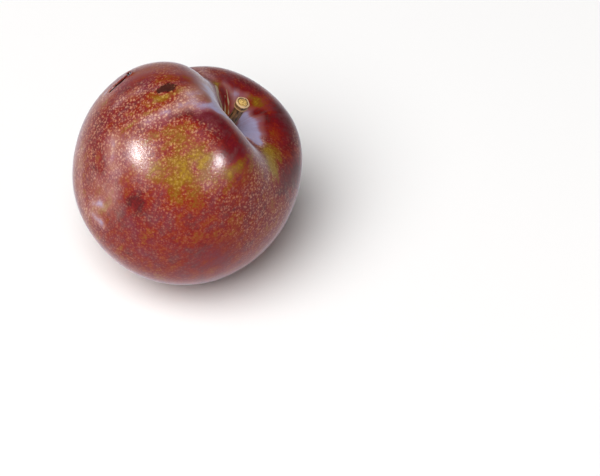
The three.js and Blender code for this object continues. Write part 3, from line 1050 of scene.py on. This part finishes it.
work_out(skin, layers, [
    *spoiling("bloom", BLOOM_NOISES),
    ("bloom", "SUBTRACT", "bloom", "slit"),
    ("bloom", "SUBTRACT", "bloom", "scab"),
    ("bloom", "MULTIPLY_ADD", "russet", -BLOOM_ON_RUSSET, "bloom"),
    ("bloom", "MULTIPLY", "bloom", BLOOM_COVER),
    ("bloom", "MAXIMUM", "bloom", 0.0),
    ("bloom", "MINIMUM", "bloom", 1.0),
    ("mauveness", "MASK", "clouds", *MAUVE_CLOUDS),
    ("bloom colour", "OVER", "mauveness", "rosy bloom", "mauve bloom"),
    ("thickness", "MASK", "bloom", *THICK_BLOOM),
    ("bloom colour", "OVER", "thickness", "bloom colour", "thick bloom"),
    ("bloomed", "OVER", "bloom", "cut", "bloom colour"),
    ("showing", "MASK", "bloom", *DOTS_THROUGH_BLOOM),
    ("showing", "MULTIPLY", "showing", "dots"),
    ("bloomed", "OVER", "showing", "bloomed", "dot in the bloom"),
])
print("with the bloom, the skin has", len(skin.nodes), "nodes")

# %% [markdown]
# ## Gloss and relief
# Wax over a tight skin gives a soft, broad highlight, and the bloom hides it. A coat with its own
# roughness makes the sharper core of it, and a sheen gives the pale rim of a powdery surface seen
# at a grazing angle. The lenticels stand up by a few hundredths of a millimetre, which breaks the
# highlight into grains.

# %% The skin's shader
CLEAN_ROUGHNESS, BLOOM_ROUGHNESS = 0.36, 0.75
DOT_RISE, DOT_STRENGTH = 0.06 * MM, 0.4
SKIN_FINISH = {
    "IOR": 1.45, "Specular IOR Level": 0.05,
    "Coat Weight": 0.24, "Coat Roughness": 0.24, "Coat IOR": 1.45,
    "Sheen Weight": 0.80, "Sheen Roughness": 0.27, "Sheen Tint": linear("#d8dcea"),
}
work_out(skin, layers, [
    ("roughness", "MIX", "bloom", CLEAN_ROUGHNESS, BLOOM_ROUGHNESS),
    ("roughness", "MAXIMUM", "roughness", "scab"),
    ("relief", "ADD", "dots", "fine"),
])
bumps = add(skin, "ShaderNodeBump",
            {"Height": layers["relief"], "Distance": DOT_RISE, "Strength": DOT_STRENGTH})
shader = add(skin, "ShaderNodeBsdfPrincipled",
             {"Base Color": layers["bloomed"], "Roughness": layers["roughness"],
              "Normal": bumps, "Coat Normal": bumps, **SKIN_FINISH})
add(skin, "ShaderNodeOutputMaterial", {"Surface": shader})
print("the skin has", len(skin.nodes), "nodes")

# %% [markdown]
# ## Dry bark and pith
# The stalk is dead wood: dark brown in its furrows, tan on its ridges, and rough all over. The
# material reads Object coordinates turned into a frame at the stalk's tip, so that its fibres run
# along the stalk. They are squeezed along it, as the grain of the mesh is.

# %% The bark's coordinates and fibres
BARK_COLOURS = {
    "furrow": "#2b1609", "ridge": "#8a6038", "yellow pith": "#e0bc66", "brown pith": "#94682c",
    "dark ring": "#4a3012", "rim": "#c9a67a", "pale ring": "#b28a5c",
}
FIBRE_SQUEEZE = 0.18
FIBRES_PER_MM = 2.2
BARK_RIDGES = (0.35, 0.68)  # of the fibres, from furrow to ridge

ARC_RADIUS = STALK_SIZES["length"] / STALK_SIZES["bend"]
TIP = ARC_RADIUS * Vector((
    math.cos(STALK_SIZES["start"]) - math.cos(TIP_HEADING), 0.0,
    math.sin(TIP_HEADING) - math.sin(STALK_SIZES["start"]),
))
TIP_FRAME = STANDING @ Matrix.Translation(TIP * MM) @ Matrix.Rotation(TIP_HEADING, 4, "Y")
coordinates = add(bark, "ShaderNodeTexCoord")
from_tip = add(bark, "ShaderNodeMapping",
               {"Vector": coordinates.outputs["Object"], "Location": TIP_FRAME.to_translation(),
                "Rotation": TIP_FRAME.to_euler("XYZ")}, vector_type="TEXTURE")
tip_mm = add(bark, "ShaderNodeVectorMath", {0: from_tip, "Scale": 1 / MM}, operation="SCALE")
drawn_out = add(bark, "ShaderNodeVectorMath", {0: tip_mm, 1: (1.0, 1.0, FIBRE_SQUEEZE)},
                operation="MULTIPLY")
layers = {name: linear(colour) for name, colour in BARK_COLOURS.items()}
layers["fibres"] = add(bark, "ShaderNodeTexNoise",
                       {"Vector": drawn_out, "Scale": FIBRES_PER_MM, "Detail": 4.0, "Roughness": 0.7})
work_out(bark, layers, [
    ("ridgeness", "MASK", "fibres", *BARK_RIDGES),
    ("stalk", "OVER", "ridgeness", "furrow", "ridge"),
])

# %% [markdown]
# The broken end shows a cream rim of bark, a dark ring, and yellow pith with brown grain. How far a
# point is from the tip's middle, across and along, tells these and the pale ring apart from the
# shaft.

# %% The broken end's colours
RING_BELOW = STALK_SIZES["length"] * (1 - STALK_SIZES["ring place"])  # mm below the tip
BROWN_PITH = (0.56, 0.42)  # of the fibres, from yellow to brown
PITH_EDGE = (1.12, 1.28)  # mm from the axis
RIM_EDGE = (1.34, 1.50)  # mm from the axis
END_EDGE = (-0.30, -0.05)  # mm above the tip
RING_EDGE = (0.42, 0.15, 0.8)  # mm from the ring's middle, and its strength

parts = add(bark, "ShaderNodeSeparateXYZ", {"Vector": tip_mm})
flat = add(bark, "ShaderNodeVectorMath", {0: tip_mm, 1: (1.0, 1.0, 0.0)}, operation="MULTIPLY")
layers["out"] = add(bark, "ShaderNodeVectorMath", {0: flat}, operation="LENGTH").outputs["Value"]
layers["level"] = parts.outputs["Z"]
work_out(bark, layers, [
    *spoiling("out", {"fibres": 0.55}),
    *spoiling("level", {"fibres": 0.30}),
    ("brownness", "MASK", "fibres", *BROWN_PITH),
    ("end", "OVER", "brownness", "yellow pith", "brown pith"),
    ("past the pith", "MASK", "out", *PITH_EDGE),
    ("end", "OVER", "past the pith", "end", "dark ring"),
    ("on the rim", "MASK", "out", *RIM_EDGE),
    ("end", "OVER", "on the rim", "end", "rim"),
    ("at the end", "MASK", "level", *END_EDGE),
    ("stalk", "OVER", "at the end", "stalk", "end"),
    ("to the ring", "ADD", "level", RING_BELOW),
    ("to the ring", "ABSOLUTE", "to the ring"),
    ("on the ring", "MASK", "to the ring", *RING_EDGE),
    ("stalk", "OVER", "on the ring", "stalk", "pale ring"),
])

# %% [markdown]
# Dry bark has hardly any gloss, so its roughness is high. The same fibres that colour it give it a
# bump, finer than the grain of the mesh.

# %% The bark's shader
BARK_RISE, BARK_STRENGTH = 0.15 * MM, 0.8
BARK_FINISH = {"Roughness": 0.82, "IOR": 1.5}
bumps = add(bark, "ShaderNodeBump",
            {"Height": layers["fibres"], "Distance": BARK_RISE, "Strength": BARK_STRENGTH})
shader = add(bark, "ShaderNodeBsdfPrincipled",
             {"Base Color": layers["stalk"], "Normal": bumps, **BARK_FINISH})
add(bark, "ShaderNodeOutputMaterial", {"Surface": shader})
print("the bark has", len(bark.nodes), "nodes")

# %% [markdown]
# ## Tie the pieces to the frame
# Each piece is attached to the body it moves with, and the solid that it stands for is hidden.

# %% Bodies, and the hidden solids
for piece, node, slot in ((body, "fruit", "plum_skin"), (stalk, "stalk", "plum_stalk")):
    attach(piece, "root")
    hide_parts(node)

# %% [markdown]
# ## Floor and light
# The fruit is shown on a plain pale floor, in a pale but dim room. The light on a dark, glossy fruit
# is easiest to set in two halves. A large lamp that makes no reflection lights the fruit and the
# floor. Two soft boxes that make nothing but reflections draw the two highlights: each stands
# where its mirror image on the skin should be, and turns until the highlight stands upright.

# %% The floor
FLOOR_SIZE = 6.0  # m
bpy.ops.mesh.primitive_plane_add(size=FLOOR_SIZE, location=(0, 0, 0))
floor = bpy.context.object
floor.name = "floor"
paper_material, paper = new_material("Matt white paper")
shader = add(paper, "ShaderNodeBsdfPrincipled",
             {"Base Color": linear("#faf9f8"), "Roughness": 0.9, "Specular IOR Level": 0.0})
add(paper, "ShaderNodeOutputMaterial", {"Surface": shader})
floor.data.materials.append(paper_material)
floor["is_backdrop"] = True

# %% [markdown]
# The world is the room. It only fills the shadows, and it is weak, because a bright room would lie
# on the dark skin as a grey veil.

# %% The room's light
ROOM_STRENGTH = 0.11
world = bpy.data.worlds.new("Pale room")
bpy.context.scene.world = world
world.use_nodes = True
world.node_tree.nodes["Background"].inputs["Color"].default_value = linear("#f7f6f8")
world.node_tree.nodes["Background"].inputs["Strength"].default_value = ROOM_STRENGTH

# %% [markdown]
# Each lamp is an ellipse. It is placed by the way to it from the fruit's middle and by how far away
# it stands, and it faces the fruit. Whether a lamp is mirrored in the skin or lights it is a switch
# on the lamp, so the two halves of the light can be set apart.

# %% The lamps
LAMPS = {  # distances and sizes in m, turns in degrees, powers in W
    "daylight": {"from": (-0.36, -0.55, 0.95), "away": 3.0, "turn": 0,
                 "size": (3.0, 3.0), "power": 132.0, "mirrored": False},
    "left_soft_box": {"from": (-0.81, -0.29, 0.50), "away": 1.5, "turn": 37,
                      "size": (0.24, 0.38), "power": 56.0, "mirrored": True},
    "right_soft_box": {"from": (0.46, -0.70, 0.55), "away": 1.5, "turn": -18,
                       "size": (0.34, 0.22), "power": 52.0, "mirrored": True},
}
for name, lamp in LAMPS.items():
    light = bpy.data.lights.new(name, "AREA")
    light.shape = "ELLIPSE"
    light.size, light.size_y = lamp["size"]
    light.energy = lamp["power"]
    stand = bpy.data.objects.new(name, light)
    bpy.context.scene.collection.objects.link(stand)
    stand.location = MIDDLE * MM + Vector(lamp["from"]).normalized() * lamp["away"]
    aimed = Vector(lamp["from"]).to_track_quat("Z", "Y").to_matrix()
    stand.rotation_euler = (aimed @ Matrix.Rotation(math.radians(lamp["turn"]), 3, "Z")).to_euler()
    stand.visible_glossy = lamp["mirrored"]
    stand.visible_diffuse = not lamp["mirrored"]
    print(name, "stands", lamp["away"], "m away and gives", lamp["power"], "W")

# %% [markdown]
# ## The camera
# The camera looks down on the fruit at 42 degrees, from 600 mm away. The fruit stands left of the
# picture's middle, so the camera aims beside it and keeps level, rather than turning to it.

# %% The camera
CAMERA_HEIGHT = math.radians(42)
CAMERA_AWAY = 600.0  # mm
FRUIT_IN_PICTURE = (184.95, 172.17)  # where the body's middle is, in pixels from the top left
PICTURE = (600, 476)
PIXEL = 0.2628  # mm at the body's middle
SENSOR = 36.0  # mm
CLIPPED = (0.01, 20.0)  # m, nearer and farther than this nothing shows

up = Vector((0, math.sin(CAMERA_HEIGHT), math.cos(CAMERA_HEIGHT)))
right = Vector((1, 0, 0))
eye = MIDDLE + CAMERA_AWAY * Vector((0, -math.cos(CAMERA_HEIGHT), math.sin(CAMERA_HEIGHT)))
aim = MIDDLE + right * (PICTURE[0] / 2 - FRUIT_IN_PICTURE[0]) * PIXEL
aim -= up * (PICTURE[1] / 2 - FRUIT_IN_PICTURE[1]) * PIXEL
back = (eye - aim).normalized()
across = up.cross(back).normalized()
upright = back.cross(across)

camera = bpy.data.cameras.new("camera")
camera.sensor_width = SENSOR
camera.lens = SENSOR * (eye - aim).length / (PICTURE[0] * PIXEL)
camera.clip_start, camera.clip_end = CLIPPED
viewer = bpy.data.objects.new("camera", camera)
bpy.context.scene.collection.objects.link(viewer)
turned = Matrix((across, upright, back)).transposed().to_4x4()
viewer.matrix_world = Matrix.Translation(eye * MM) @ turned
bpy.context.scene.camera = viewer
bpy.context.scene.view_settings.view_transform = "Standard"
print("lens:", round(camera.lens, 1), "mm")

# %% [markdown]
# ## Last lines
# The box of the dressed fruit is written beside the box of the solid model, to be compared.

# %% Compare the boxes and finish
visual_box = [list(corner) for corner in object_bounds()]
for name, box in (("solid", cad_box), ("dressed", visual_box)):
    print(name, "box in mm:", [[round(1000 * c, 2) for c in corner] for corner in box])
